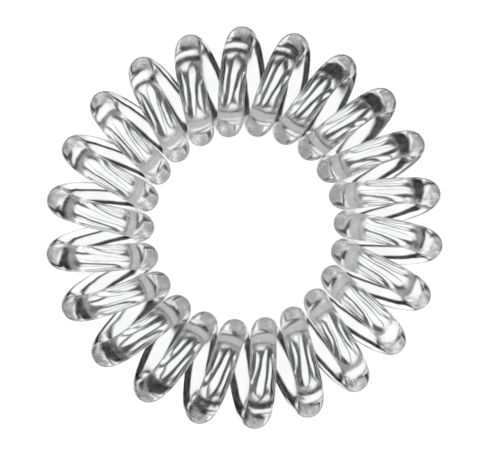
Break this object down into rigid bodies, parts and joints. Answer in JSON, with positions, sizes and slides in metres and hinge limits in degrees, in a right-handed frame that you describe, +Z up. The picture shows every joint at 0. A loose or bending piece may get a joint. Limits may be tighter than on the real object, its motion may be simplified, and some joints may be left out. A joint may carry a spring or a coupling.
{
  "type": "spiral hair tie",
  "caption": "Clear elastic cord wound as a spring and closed into a flat ring, which stretches round a gathered ponytail.",
  "frame": {"origin": "centre of the ring, on the surface that the tie lies on", "axes": "+Z up, through the hole; +X and +Y across the ring, with the first turn's outer tip 9.6 degrees from +X towards +Y"},
  "size_m": [0.0395, 0.04, 0.011],
  "materials": {
    "clear_cord": "clear, colourless, glass-smooth moulded plastic"
  },
  "bodies": {
    "root": {"coil": "clear_cord"}
  },
  "joints": []
}
